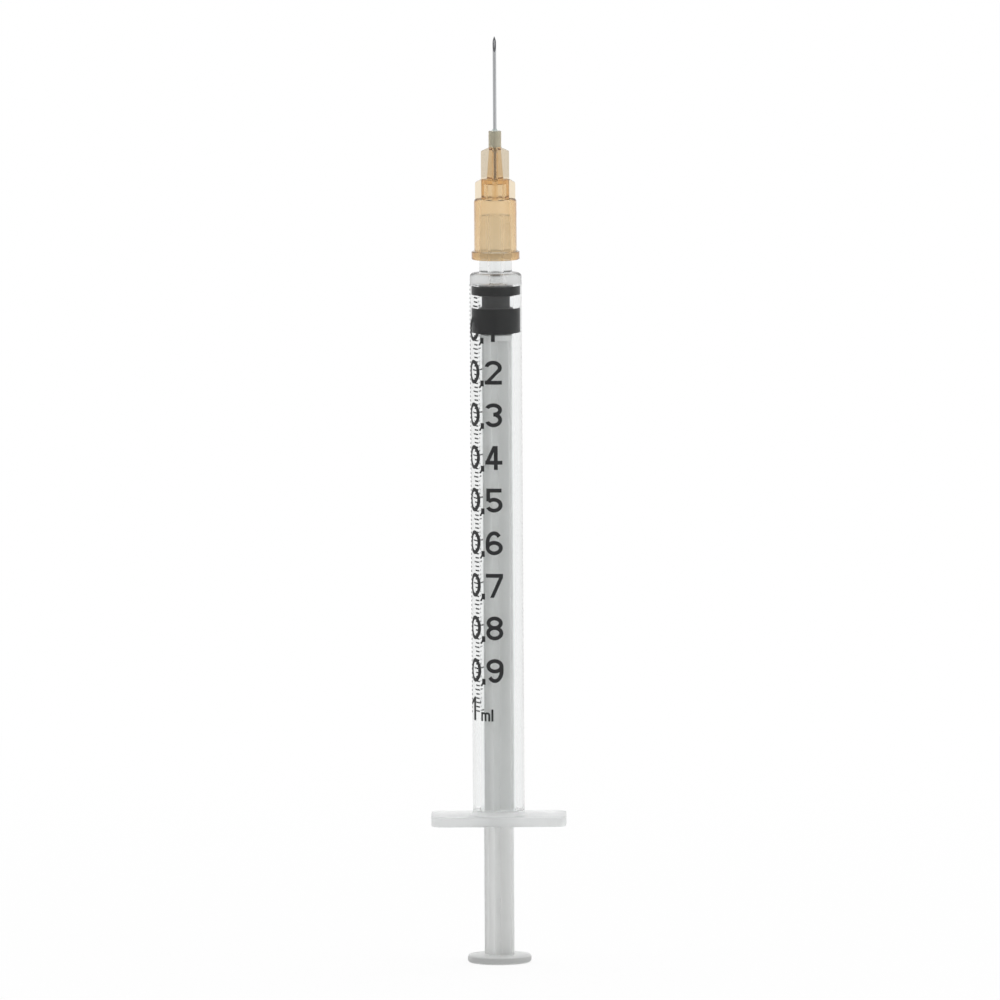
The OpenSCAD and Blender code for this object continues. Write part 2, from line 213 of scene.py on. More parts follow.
def joined(first: bmesh.types.BMesh, steps: Sequence[tuple[Join, bmesh.types.BMesh]]) -> bmesh.types.BMesh:
    """Adds solids to a first one, and cuts others from it, in order.

    Args:
        first: The solid to start from.
        steps: What is done with each further solid.

    Returns:
        One closed solid.
    """
    whole = as_object("whole", first)
    tools = []
    for join, shape in steps:
        tool = as_object("tool", shape)
        change = whole.modifiers.new(join.name, "BOOLEAN")
        change.operation, change.solver, change.object = join.value, "EXACT", tool
        tools.append(tool)
    bm = bmesh.new()
    bm.from_object(whole, bpy.context.evaluated_depsgraph_get())
    for obj in (whole, *tools):
        bpy.data.objects.remove(obj)
    bmesh.ops.remove_doubles(bm, verts=bm.verts, dist=MERGE)
    bmesh.ops.dissolve_degenerate(bm, edges=bm.edges, dist=MERGE)
    return bm


def piece(name: str, bm: bmesh.types.BMesh, finish: "Finish", body: str, slot: str, *nodes: str) -> bpy.types.Object:
    """Finishes a piece and puts it on its body in place of its CAD nodes.

    Args:
        name: Name of the piece.
        bm: Its mesh, which is freed.
        finish: What it is made of.
        body: The CAD body that it rides on.
        slot: The record's material slot, which is not used.
        nodes: The CAD nodes that it stands for.

    Returns:
        The piece.
    """
    bmesh.ops.recalc_face_normals(bm, faces=bm.faces)
    obj = as_object(name, bm)
    obj.modifiers.new("even shading", "WEIGHTED_NORMAL").keep_sharp = True
    obj.data.materials.append(finish.material())
    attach(obj, body)
    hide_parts(*nodes)
    log.info("%s: %d faces on body %s", name, len(obj.data.polygons), body)
    return obj


# Finishes


def screen(red: int, green: int, blue: int) -> Colour:
    """Turns the values that a screen shows into a linear colour, by the sRGB curve.

    Args:
        red: Value from 11 to 255.
        green: Value from 11 to 255.
        blue: Value from 11 to 255.

    Returns:
        The linear colour.
    """
    return tuple(((value / 255 + 0.055) / 1.055) ** 2.4 for value in (red, green, blue))


class Easing(Enum):
    """How a ramp goes from its start to its end."""

    NONE = "LINEAR"
    GENTLE = "SMOOTHSTEP"


class Graph:
    """The node tree of a material or of the world, with short calls that add and join nodes."""

    # Number of finer layers in a mottling, and where most of its values lie
    LAYERS = 3.0
    MIDDLE = (0.3, 0.7)

    def __init__(self, owner: bpy.types.Material | bpy.types.World) -> None:
        """Starts an empty tree.

        Args:
            owner: The material or world that the tree is for.
        """
        owner.use_nodes = True
        self.owner = owner
        self.tree = owner.node_tree
        self.tree.nodes.clear()

    def node(self, kind: str, inputs: dict | None = None, **settings: object) -> bpy.types.ShaderNode:
        """Adds a node.

        Args:
            kind: Blender's name for the node, without its first word.
            inputs: What goes into each input, a value or another node's output.
            settings: Values for the node's own settings.

        Returns:
            The node.
        """
        node = self.tree.nodes.new("ShaderNode" + kind)
        for key, value in settings.items():
            setattr(node, key, value)
        for key, value in (inputs or {}).items():
            if isinstance(value, bpy.types.NodeSocket):
                self.tree.links.new(value, node.inputs[key])
            else:
                node.inputs[key].default_value = value
        return node

    def noise(self, size: Vector) -> bpy.types.NodeSocket:
        """Mottling over the piece's own coordinates.

        Args:
            size: Size of the mottling along each axis.

        Returns:
            A value from 0 to 1.
        """
        place = self.node("TexCoord").outputs["Object"]
        scaled = self.node("Mapping", {"Vector": place, "Scale": Vector(1 / (s * MM) for s in size)})
        return self.node("TexNoise", {"Vector": scaled.outputs[0], "Scale": 1.0, "Detail": self.LAYERS}).outputs[0]

    def between(self, value: bpy.types.NodeSocket, low: float, high: float) -> bpy.types.NodeSocket:
        """Spreads the middle of a mottling over a range.

        Args:
            value: The mottling.
            low: Where the range starts.
            high: Where it ends.

        Returns:
            A value in that range.
        """
        return self.ramp(value, self.MIDDLE, (low, high), Easing.NONE)

    def ramp(self, value: Value, source: Range, result: Range, easing: Easing) -> bpy.types.NodeSocket:
        """Turns one range of values into another, and stays at its ends beyond them.

        Args:
            value: The value.
            source: Where its range starts and ends.
            result: What comes out at that start and end.
            easing: How it goes from one to the other.

        Returns:
            The value in the other range.
        """
        limits = {"From Min": source[0], "From Max": source[1], "To Min": result[0], "To Max": result[1]}
        return self.node("MapRange", {"Value": value, **limits}, interpolation_type=easing.value).outputs[0]

    def mixed(self, share: Value, first: Rgba | bpy.types.NodeSocket, second: Rgba) -> bpy.types.NodeSocket:
        """Mixes two colours.

        Args:
            share: How much of the second there is, from 0 to 1.
            first: The first colour, or another node's output.
            second: The second colour.

        Returns:
            The mixed colour.
        """
        # This node's inputs for numbers, vectors and colours share their names, so that those for colours go by place
        return self.node("Mix", {0: share, 6: first, 7: second}, data_type="RGBA").outputs[2]

    def bump(self, height: bpy.types.NodeSocket, depth: float) -> bpy.types.NodeSocket:
        """A normal for small unevenness.

        Args:
            height: The unevenness, from 0 to 1.
            depth: Its height.

        Returns:
            The normal.
        """
        return self.node("Bump", {"Height": height, "Distance": depth * MM}).outputs[0]

    def larger(self, *values: bpy.types.NodeSocket) -> bpy.types.NodeSocket:
        """Finds the largest of some values.

        Args:
            values: Two values or more.

        Returns:
            The largest of them.
        """
        largest = values[0]
        for value in values[1:]:
            largest = self.node("Math", {0: largest, 1: value}, operation="MAXIMUM").outputs[0]
        return largest

    def done(self, surface: bpy.types.NodeSocket, inside: bpy.types.NodeSocket | None = None) -> bpy.types.Material:
        """Closes the tree.

        Args:
            surface: The shader of the surface.
            inside: The shader of what it encloses, if that changes light.

        Returns:
            The material.
        """
        self.node("OutputMaterial", {"Surface": surface, **({"Volume": inside} if inside else {})})
        return self.owner


@dataclass(frozen=True)
class Band:
    """A stretch of a moulding, between two heights, whose surface differs from the rest.

    Args:
        low: Height where it starts.
        high: Height where it ends.
        blend: Height over which it fades out at either end.
        shade: How much darker it is, as painted shade.
        roughness: How much rougher it is.
        clarity: How much more light goes through it.
    """

    low: float
    high: float
    blend: float
    shade: float = 0.0
    roughness: float = 0.0
    clarity: float = 0.0


class Change(Enum):
    """What a band changes. The values are names of the band's fields."""

    PAINTED_SHADE = "shade"
    ROUGHNESS = "roughness"
    CLARITY = "clarity"


@dataclass(frozen=True)
class Finish:
    """What every finish has.

    Args:
        name: Name of the material.
        colour: Its colour.
        roughness: Its roughness where it is smoothest.
        wear: How much rougher it is elsewhere.
        mottle: Size of its mottling.
        grain: Size of its grain.
        grain_depth: Height of its grain.
        shade: How much darker its mottling makes it.
        bands: Where its surface differs, some of them with painted shade.
    """

    name: str
    colour: Colour
    roughness: float = 0.2
    wear: float = 0.08
    mottle: Vector = field(default_factory=lambda: Vector((4.0, 4.0, 9.0)))
    grain: Vector = field(default_factory=lambda: Vector((0.25, 0.25, 0.25)))
    grain_depth: float = 0.001
    shade: float = 0.05
    bands: tuple[Band, ...] = ()

    def banded(self, graph: Graph, value: Value, change: Change) -> Value:
        """Changes a value in the bands.

        Args:
            graph: The material's tree.
            value: The value outside the bands.
            change: What kind of value it is.

        Returns:
            The value, as it was if no band changes it.
        """
        for band in self.bands:
            amount = getattr(band, change.value)
            if not amount:
                continue
            height = graph.node("SeparateXYZ", {0: graph.node("TexCoord").outputs["Object"]}).outputs["Z"]
            below, above = (band.low - band.blend) * MM, (band.high + band.blend) * MM
            rise = graph.ramp(height, (below, band.low * MM), (0.0, amount), Easing.GENTLE)
            fall = graph.ramp(height, (band.high * MM, above), (1.0, 0.0), Easing.GENTLE)
            value = graph.node("Math", {0: rise, 1: fall, 2: value}, operation="MULTIPLY_ADD").outputs[0]
        return value

    def surface(self, graph: Graph, extra: dict[str, Value]) -> bpy.types.NodeSocket:
        """The finish's main shader.

        Args:
            graph: The material's tree.
            extra: Further inputs of the shader.

        Returns:
            The shader.
        """
        mottle = graph.noise(self.mottle)
        deeper = tuple(c * (1 - self.shade) for c in self.colour)
        colour = graph.mixed(mottle, (*self.colour, 1.0), (*deeper, 1.0))
        # Painted shade: bands with shade darken the colour towards black
        shade = self.banded(graph, 0.0, Change.PAINTED_SHADE)
        if isinstance(shade, bpy.types.NodeSocket):
            colour = graph.mixed(shade, colour, BLACK)
        roughness = graph.between(mottle, self.roughness, self.roughness + self.wear)
        inputs = {
            "Base Color": colour,
            "Roughness": self.banded(graph, roughness, Change.ROUGHNESS),
            "Normal": graph.bump(graph.noise(self.grain), self.grain_depth),
            **extra,
        }
        return graph.node("BsdfPrincipled", inputs).outputs[0]

    def extras(self) -> dict[str, float]:
        """Further inputs of the shader, beyond those that every finish sets."""
        return {}

    def material(self) -> bpy.types.Material:
        """The finish as a material."""
        graph = Graph(bpy.data.materials.new(self.name))
        return graph.done(self.surface(graph, self.extras()))


@dataclass(frozen=True)
class Plastic(Finish):
    """Moulded plastic that lets light through.

    Args:
        clarity: How much of the light goes through it.
        ior: How much it bends light.
        lamps: How much of the lamps' light passes straight on.
        lamp_tint: Colour of that light behind it.
        depth_tint: Colour that it takes where it is thick.
        depth_share: How strongly it takes that colour, per metre.
    """

    clarity: float = 0.9
    ior: float = 1.49
    lamps: float = 0.8
    lamp_tint: Colour = (1.0, 1.0, 1.0)
    depth_tint: Colour = (0.75, 0.77, 0.77)
    depth_share: float = 0.0

    def material(self) -> bpy.types.Material:
        """The plastic as a material."""
        graph = Graph(bpy.data.materials.new(self.name))
        clarity = self.banded(graph, self.clarity, Change.CLARITY)
        body = self.surface(graph, {"Transmission Weight": clarity, "IOR": self.ior})
        shadow = graph.node("LightPath").outputs["Is Shadow Ray"]
        share = graph.node("Math", {0: shadow, 1: self.lamps}, operation="MULTIPLY").outputs[0]
        through = graph.node("BsdfTransparent", {"Color": (*self.lamp_tint, 1.0)}).outputs[0]
        surface = graph.node("MixShader", {0: share, 1: body, 2: through}).outputs[0]
        if not self.depth_share:
            return graph.done(surface)
        inside = {"Color": (*self.depth_tint, 1.0), "Density": self.depth_share}
        return graph.done(surface, graph.node("VolumeAbsorption", inside).outputs[0])


@dataclass(frozen=True)
class Rubber(Finish):
    """Moulded rubber with a film of silicone on it.

    Args:
        film: How much of the film there is.
        film_roughness: Its roughness.
        shine: How much light the rubber mirrors, where 0.5 is usual.
    """

    film: float = 0.04
    film_roughness: float = 0.2
    shine: float = 0.15

    def extras(self) -> dict[str, float]:
        """The film, and the rubber's own shine."""
        return {"Specular IOR Level": self.shine, "Coat Weight": self.film, "Coat Roughness": self.film_roughness}


@dataclass(frozen=True)
class Steel(Finish):
    """Drawn or ground steel, with fine lines along it."""

    def extras(self) -> dict[str, float]:
        """That it is metal."""
        return {"Metallic": 1.0}


CLEAR_PLASTIC = Plastic(
    name="clear_plastic",
    colour=screen(252, 253, 253),
    roughness=0.04,
    wear=0.05,
    mottle=Vector((5.0, 5.0, 16.0)),
    grain=Vector((2.5, 2.5, 14.0)),
    grain_depth=0.0004,
    shade=0.01,
    bands=(
        # Flange, less clear and rougher; shoulder, less clear, rougher and with painted shade; and the nozzle's foot,
        # with painted shade
        Band(low=18.0, high=20.1, blend=0.9, roughness=0.3, clarity=-0.22),
        Band(low=90.9, high=92.3, blend=0.4, shade=0.13, roughness=0.2, clarity=-0.06),
        Band(low=92.8, high=94.2, blend=0.4, shade=0.04),
    ),
    clarity=0.995,
    ior=1.36,
    lamps=1.0,
    depth_tint=screen(182, 184, 182),
    depth_share=62.0,
)
ROD_PLASTIC = Plastic(
    name="rod_plastic",
    colour=screen(243, 244, 243),
    roughness=0.28,
    wear=0.1,
    grain=Vector((1.2, 1.2, 6.0)),
    grain_depth=0.002,
    shade=0.03,
    # Rim of the thumb press, with painted shade where it faces the darker front of the room
    bands=(Band(low=0.3, high=0.75, blend=0.25, shade=0.3),),
    clarity=0.5,
    lamps=0.4,
    depth_tint=screen(128, 129, 128),
    depth_share=45.0,
)
HUB_PLASTIC = Plastic(
    name="hub_plastic",
    colour=screen(250, 245, 236),
    roughness=0.12,
    wear=0.08,
    mottle=Vector((2.5, 2.5, 3.5)),
    grain=Vector((1.2, 1.2, 3.0)),
    grain_depth=0.001,
    shade=0.04,
    bands=(
        # Collar and nose, both with painted shade; the nose is also less clear
        Band(low=94.6, high=95.0, blend=0.3, shade=0.2),
        Band(low=105.2, high=108.7, blend=0.4, shade=0.19, clarity=-0.06),
    ),
    clarity=0.98,
    ior=1.42,
    lamps=0.7,
    lamp_tint=screen(245, 224, 190),
    depth_tint=(0.85, 0.61, 0.17),
    depth_share=520.0,
)
ADHESIVE = Plastic(
    name="adhesive",
    colour=screen(224, 234, 232),
    roughness=0.12,
    wear=0.1,
    mottle=Vector((0.4, 0.4, 0.7)),
    grain=Vector((0.3, 0.3, 0.3)),
    shade=0.2,
    clarity=0.3,
    ior=1.52,
    lamps=0.3,
)
STOPPER_RUBBER = Rubber(
    name="stopper_rubber",
    colour=screen(15, 16, 17),
    roughness=0.5,
    wear=0.15,
    mottle=Vector((1.2, 1.2, 1.2)),
    grain=Vector((0.14, 0.14, 0.14)),
    grain_depth=0.004,
    shade=0.3,
)
NEEDLE_STEEL = Steel(
    name="needle_steel",
    colour=screen(184, 185, 187),
    roughness=0.38,
    wear=0.08,
    mottle=Vector((0.6, 0.6, 5.0)),
    grain=Vector((0.2, 0.2, 5.0)),
    grain_depth=0.0002,
    shade=0.05,
)
GROUND_STEEL = Steel(
    name="ground_steel",
    colour=screen(138, 139, 142),
    roughness=0.3,
    wear=0.12,
    mottle=Vector((0.3, 0.3, 0.8)),
    grain=Vector((0.02, 0.5, 0.5)),
    grain_depth=0.0004,
    shade=0.15,
)
BLACK_INK = Finish(
    name="black_ink",
    colour=screen(24, 25, 27),
    roughness=0.5,
    wear=0.2,
    mottle=Vector((0.7, 0.7, 0.7)),
    grain=Vector((0.12, 0.12, 0.12)),
    grain_depth=0.0015,
    shade=0.35,
)


# The syringe. Names that end in _r are radii, in _z heights, and in _w, _l, _h and _t widths, lengths, heights of a
# raised form and thicknesses. sunk is how far one solid reaches into another before they are joined, and overrun how
# far a cutting solid reaches past the face that it opens.


@dataclass
class Barrel:
    """Clear barrel: finger flange, tube, shoulder and Luer nozzle in one moulding."""

    flange_size: Vector = field(default_factory=lambda: Vector((18.0, 9.4, 1.3)))
    flange_z: float = 18.55
    flange_corner: float = 1.6
    flange_corner_steps: int = 10
    flange_edge: float = 0.14
    flange_edge_steps: int = 4
    flange_fillet: float = 0.5
    sunk: float = 0.5
    bore_r: float = 2.365
    tube_r: float = 3.445
    front_wall_z: float = 90.95
    shoulder_z: float = 92.3
    shoulder_round: float = 0.5
    ridge_z: float = 19.75
    ridge_w: float = 0.8
    ridge_h: float = 0.1
    mouth_chamfer: float = 0.25
    nozzle_root_r: float = 2.199
    nozzle_tip_r: float = 1.965
    nozzle_z: float = 100.1
    nozzle_round: float = 0.15
    channel_r: float = 0.8
    overrun: float = 0.5

    def flange(self) -> bmesh.types.BMesh:
        """The flange as a plate with round corners and softened edges."""
        half = Vector((self.flange_size.x / 2, self.flange_size.y / 2, 0.0))
        low = Vector((-half.x, -half.y, self.flange_z))
        bm = block(low, Vector((half.x, half.y, self.flange_z + self.flange_size.z)))
        upright = [e for e in bm.edges if abs((e.verts[0].co - e.verts[1].co).z) > MERGE]
        soften(bm, Rounding.EDGES, upright, self.flange_corner, self.flange_corner_steps)
        rim = [e for e in bm.edges if abs((e.verts[0].co - e.verts[1].co).z) < MERGE]
        soften(bm, Rounding.EDGES, rim, self.flange_edge, self.flange_edge_steps)
        return bm

    def outside(self) -> bmesh.types.BMesh:
        """The tube, shoulder and nozzle as if they were solid."""
        flange_top = self.flange_z + self.flange_size.z
        flare = self.tube_r + self.flange_fillet + self.flange_edge
        return turned(
            [
                (0.0, self.flange_z + self.sunk),
                (flare, self.flange_z + self.sunk),
                (flare, flange_top),
                (self.tube_r, flange_top),
                (self.tube_r, self.shoulder_z),
                (self.nozzle_root_r, self.shoulder_z),
                (self.nozzle_tip_r, self.nozzle_z),
                (0.0, self.nozzle_z),
            ],
            [Fillet(self.flange_fillet, (3,)), Fillet(self.shoulder_round, (4,)), Fillet(self.nozzle_round, (5, 6))],
        )

    def inside(self) -> bmesh.types.BMesh:
        """The room inside: mouth, ridge, bore and channel."""
        mouth_r = self.bore_r + self.mouth_chamfer + self.overrun
        return turned(
            [
                (0.0, self.flange_z - self.overrun),
                (mouth_r, self.flange_z - self.overrun),
                (self.bore_r, self.flange_z + self.mouth_chamfer),
                (self.bore_r, self.ridge_z),
                (self.bore_r - self.ridge_h, self.ridge_z + self.ridge_w / 3),
                (self.bore_r - self.ridge_h, self.ridge_z + self.ridge_w * 2 / 3),
                (self.bore_r, self.ridge_z + self.ridge_w),
                (self.bore_r, self.front_wall_z),
                (self.channel_r, self.front_wall_z),
                (self.channel_r, self.nozzle_z + self.overrun),
                (0.0, self.nozzle_z + self.overrun),
            ],
            [Fillet(self.nozzle_round, (7, 8))],
        )

    def build(self) -> None:
        """Makes the barrel."""
        bm = joined(self.outside(), [(Join.ADD, self.flange()), (Join.CUT, self.inside())])
        piece("barrel_moulding", bm, CLEAR_PLASTIC, "barrel", "clear_plastic", "barrel")


@dataclass
class Print:
    """The printed scale. Its characters and lines stay as the CAD has them."""

    nodes: Sequence[str] = (
        "long_graduations",
        "half_graduations",
        "short_graduations",
        *(f"numeral_0_{step}" for step in range(1, 10)),
        "numeral_1",
        "unit_mark",
    )

    def build(self) -> None:
        """Gives the print its ink."""
        ink = BLACK_INK.material()
        for name in self.nodes:
            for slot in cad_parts[name].material_slots:
                slot.material = ink
            log.info("%s: ink", name)


@dataclass
class Stopper:
    """Rubber stopper: two sealing ribs, a waist, and the pocket for the rod's head.

    The ribs are pressed a little into the wall, as soft rubber is, so that they show black right across it.
    """

    foot_z: float = 84.2
    rib_r: float = 2.38
    waist_r: float = 1.875
    waist_z: float = 87.7
    front_rib_z: float = 89.25
    front_z: float = 90.65
    rib_round: float = 0.16
    pocket_neck_r: float = 0.85
    pocket_r: float = 1.2
    pocket_z: float = 85.45
    pocket_end_z: float = 87.55

    def build(self) -> None:
        """Makes the stopper."""
        bm = turned(
            [
                (self.pocket_neck_r, self.foot_z),
                (self.rib_r, self.foot_z),
                (self.rib_r, self.waist_z),
                (self.waist_r, self.waist_z),
                (self.waist_r, self.front_rib_z),
                (self.rib_r, self.front_rib_z),
                (self.rib_r, self.front_z),
                (0.0, self.front_z),
                (0.0, self.pocket_end_z),
                (self.pocket_r, self.pocket_end_z),
                (self.pocket_r, self.pocket_z),
                (self.pocket_neck_r, self.pocket_z),
            ],
            [Fillet(self.rib_round, (1, 2, 3, 4, 5, 6))],
        )
        piece("stopper_moulding", bm, STOPPER_RUBBER, "stopper", "stopper_rubber", "stopper")


@dataclass
class PlungerRod:
    """Milky plunger rod: thumb press, cross-shaped rod, pusher disc and snap head."""

    press_r: float = 4.25
    press_t: float = 1.1
    press_round: float = 0.4
    gate_r: float = 0.7
    gate_depth: float = 0.1
    rib_t: float = 1.0
    rib_end: float = 2.045
    rib_tip: float = 2.1
    rib_round: float = 0.13
    rib_steps: int = 4
    root_round: float = 0.12
    root_steps: int = 3
    turn: float = -30.0
    sunk: float = 0.4
    pusher_z: float = 83.3
    pusher_r: float = 2.15
    pusher_top_z: float = 84.1
    pusher_round: float = 0.12
    neck_r: float = 0.8
    head_z: float = 85.5
    head_r: float = 1.15
    head_tip_r: float = 0.6
    head_top_z: float = 87.5

    def press(self) -> bmesh.types.BMesh:
        """The thumb press, with the shallow mark of its gate underneath."""
        return turned(
            [
                (0.0, self.gate_depth),
                (self.gate_r, self.gate_depth),
                (self.gate_r + self.gate_depth, 0.0),
                (self.press_r, 0.0),
                (self.press_r, self.press_t),
                (0.0, self.press_t),
            ],
            [Fillet(self.press_round, (3, 4))],
        )

    def cross(self) -> bmesh.types.BMesh:
        """The four ribs, from inside the press to inside the pusher disc."""
        half = self.rib_t / 2
        arm = [(half, half), (self.rib_end, half), (self.rib_tip, 0.0), (self.rib_end, -half)]
        bm = bmesh.new()
        base = self.press_t - self.sunk
        corners = []
        for quarter in range(4):
            turn = Matrix.Rotation(-quarter * math.pi / 2, 3, "Z")
            corners += [bm.verts.new(turn @ Vector((x, y, base)) * MM) for x, y in arm]
        bm.faces.new(corners)
        roots = corners[:: len(arm)]
        ends = [corner for i, corner in enumerate(corners) if i % len(arm) in (1, 3)]
        soften(bm, Rounding.CORNERS, roots, self.root_round, self.root_steps)
        soften(bm, Rounding.CORNERS, ends, self.rib_round, self.rib_steps)
        (section,) = bm.faces
        raised(bm, section, Vector((0.0, 0.0, (self.pusher_z + self.sunk - base) * MM)))
        bmesh.ops.rotate(bm, verts=bm.verts, cent=ORIGIN, matrix=Matrix.Rotation(math.radians(self.turn), 3, "Z"))
        return bm

    def tip(self) -> bmesh.types.BMesh:
        """The pusher disc, and the neck and head that snap into the stopper."""
        return turned(
            [
                (0.0, self.pusher_z),
                (self.pusher_r, self.pusher_z),
                (self.pusher_r, self.pusher_top_z),
                (self.neck_r, self.pusher_top_z),
                (self.neck_r, self.head_z),
                (self.head_r, self.head_z),
                (self.head_tip_r, self.head_top_z),
                (0.0, self.head_top_z),
            ],
            [Fillet(self.pusher_round, (1, 2, 3, 6))],
            MEDIUM,
        )

    def build(self) -> None:
        """Makes the rod."""
        bm = joined(self.press(), [(Join.ADD, self.cross()), (Join.ADD, self.tip())])
        piece("plunger_moulding", bm, ROD_PLASTIC, "plunger", "rod_plastic", "plunger_rod")


@dataclass(frozen=True)
class Fins:
    """Four fins around the hub.

    Args:
        width: Width across two of them.
        core: Width of what they stand on.
        low: Height of their foot.
        high: Height where they end at the core.
        slope: How far their tops slope down.
        thickness: Thickness of one.
        edge: Rounding of their edges.
        edge_steps: Number of faces in that rounding.
    """

    width: float
    core: float
    low: float
    high: float
    slope: float
    thickness: float = 0.75
    edge: float = 0.09
    edge_steps: int = 3

    def pairs(self) -> list[bmesh.types.BMesh]:
        """Two crossing plates, each of which is two of the fins."""
        half, core = self.width / 2, self.core / 2
        shoulder = self.high - self.slope
        outline = [(-half, self.low), (half, self.low), (half, shoulder), (core, self.high)]
        outline += [(-core, self.high), (-half, shoulder)]
        plates = []
        for angle in (0.0, math.pi / 2):
            bm = bmesh.new()
            face = bm.faces.new([bm.verts.new(Vector((x, -self.thickness / 2, z)) * MM) for x, z in outline])
            raised(bm, face, Vector((0.0, self.thickness * MM, 0.0)))
            outer = [e for e in bm.edges if all(v.co.z > (self.low + self.edge) * MM for v in e.verts)]
            soften(bm, Rounding.EDGES, outer, self.edge, self.edge_steps)
            bmesh.ops.rotate(bm, verts=bm.verts, cent=ORIGIN, matrix=Matrix.Rotation(angle, 3, "Z"))
            plates.append(bm)
        return plates


@dataclass
class NeedleHub:
    """Tinted hub: collar, socket, stepped core with fins, and the neck that grips the cannula."""

    mouth_z: float = 94.1
    collar_r: float = 3.2
    collar_z: float = 95.2
    socket_r: float = 2.825
    step_z: float = 102.2
    step_r: float = 1.9
    nose_z: float = 104.8
    nose_r: float = 1.15
    neck_r: float = 0.85
    neck_z: float = 109.0
    top_z: float = 111.25
    edge: float = 0.14
    shoulder_round: float = 0.35
    mouth_r: float = 2.155
    socket_end_r: float = 1.918
    socket_end_z: float = 102.0
    passage_r: float = 1.05
    passage_z: float = 104.1
    hole_r: float = 0.25
    well_r: float = 0.575
    well_z: float = 109.1
    overrun: float = 0.5
    step_fin_w: float = 5.35
    nose_fin_w: float = 3.75
    fin_slope: float = 0.45

    def outside(self) -> bmesh.types.BMesh:
        """The hub as if it were solid, without its fins."""
        return turned(
            [
                (0.0, self.mouth_z),
                (self.collar_r, self.mouth_z),
                (self.collar_r, self.collar_z),
                (self.socket_r, self.collar_z),
                (self.socket_r, self.step_z),
                (self.step_r, self.step_z),
                (self.step_r, self.nose_z),
                (self.nose_r, self.nose_z),
                (self.neck_r, self.neck_z),
                (self.neck_r, self.top_z),
                (0.0, self.top_z),
            ],
            [Fillet(self.edge, (1, 2, 3, 5, 6, 7, 9)), Fillet(self.shoulder_round, (4,))],
            MEDIUM,
        )

    def inside(self) -> bmesh.types.BMesh:
        """The tapered socket, the passage, and the cannula's hole and well."""
        return turned(
            [
                (0.0, self.mouth_z - self.overrun),
                (self.mouth_r, self.mouth_z - self.overrun),
                (self.mouth_r, self.mouth_z),
                (self.socket_end_r, self.socket_end_z),
                (self.passage_r, self.socket_end_z),
                (self.passage_r, self.passage_z),
                (self.hole_r, self.passage_z),
                (self.hole_r, self.well_z),
                (self.well_r, self.well_z),
                (self.well_r, self.top_z + self.overrun),
                (0.0, self.top_z + self.overrun),
            ],
            segments=MEDIUM,
        )

    def build(self) -> None:
        """Makes the hub."""
        step_fins = Fins(
            width=self.step_fin_w,
            core=2 * self.step_r,
            low=self.step_z - self.edge,
            high=self.nose_z,
            slope=self.fin_slope,
        )
        nose_fins = Fins(
            width=self.nose_fin_w,
            core=2 * self.neck_r,
            low=self.nose_z - self.fin_slope,
            high=self.neck_z,
            slope=self.fin_slope,
        )
        fins = [(Join.ADD, plate) for plate in (*step_fins.pairs(), *nose_fins.pairs())]
        bm = joined(self.outside(), [*fins, (Join.CUT, self.inside())])
        piece("hub_moulding", bm, HUB_PLASTIC, "needle", "hub_plastic", "needle_hub")


@dataclass
class Cannula:
    """Steel tube with a ground bevel and two lancet facets at its point.

    A face near the point is a ground one if the upward share of its normal lies within ground_slope.
    """

    low_z: float = 104.7
    point_z: float = 123.85
    outer_r: float = 0.23
    bore_r: float = 0.125
    bevel_l: float = 2.1
    lancet_angle: float = 21.0
    lancet_turn: float = 42.0
    ground_slope: Range = (0.1, 0.9)

    def cutter(self, turn: float, angle: float) -> bmesh.types.BMesh:
        """What one grinding pass takes away.

        Args:
            turn: Turn of the pass around the cannula, in degrees.
            angle: Angle between the ground face and the axis, in degrees.

        Returns:
            A block whose rear face is the ground face.
        """
        reach = 2 * self.bevel_l
        bm = block(Vector((-self.bevel_l, -reach, -reach)), Vector((self.bevel_l, 0.0, reach)))
        lean = Matrix.Rotation(math.radians(turn), 3, "Z") @ Matrix.Rotation(math.radians(-angle), 3, "X")
        bmesh.ops.rotate(bm, verts=bm.verts, cent=ORIGIN, matrix=lean)
        bmesh.ops.translate(bm, verts=bm.verts, vec=Vector((0.0, self.outer_r, self.point_z)) * MM)
        return bm

    def build(self) -> None:
        """Makes the cannula."""
        outline = [(r, z) for z in (self.low_z, self.point_z) for r in (self.bore_r, self.outer_r)]
        tube = turned([outline[0], outline[1], outline[3], outline[2]], segments=COARSE)
        bevel = math.degrees(math.atan(2 * self.outer_r / self.bevel_l))
        cuts = [self.cutter(0.0, bevel)] + [self.cutter(side * self.lancet_turn, self.lancet_angle) for side in (-1, 1)]
        bm = joined(tube, [(Join.CUT, cut) for cut in cuts])
        obj = piece("needle_tube", bm, NEEDLE_STEEL, "needle", "needle_steel", "cannula")
        obj.data.materials.append(GROUND_STEEL.material())
        least, most = self.ground_slope
        for face in obj.data.polygons:
            if least < face.normal.z < most and face.center.z > (self.point_z - 2 * self.bevel_l) * MM:
                face.material_index = 1


@dataclass
class Adhesive:
    """Resin in the neck's well, which wets its wall and climbs the cannula a little.

    It climbs by a curve of the power hollow.
    """

    low_z: float = 109.105
    top_z: float = 111.25
    climb: float = 0.3
    inner_r: float = 0.235
    outer_r: float = 0.578
    hollow: float = 2.2
    steps: int = 6

    def build(self) -> None:
        """Makes the resin."""
        rim = []
        for step in range(self.steps + 1):
            share = step / self.steps
            radius = self.outer_r + (self.inner_r - self.outer_r) * share
            rim.append((radius, self.top_z + self.climb * share**self.hollow))
        bm = turned([(self.inner_r, self.low_z), (self.outer_r, self.low_z), *rim], segments=COARSE)
        piece("needle_resin", bm, ADHESIVE, "needle", "adhesive", "adhesive_bead")


# The studio


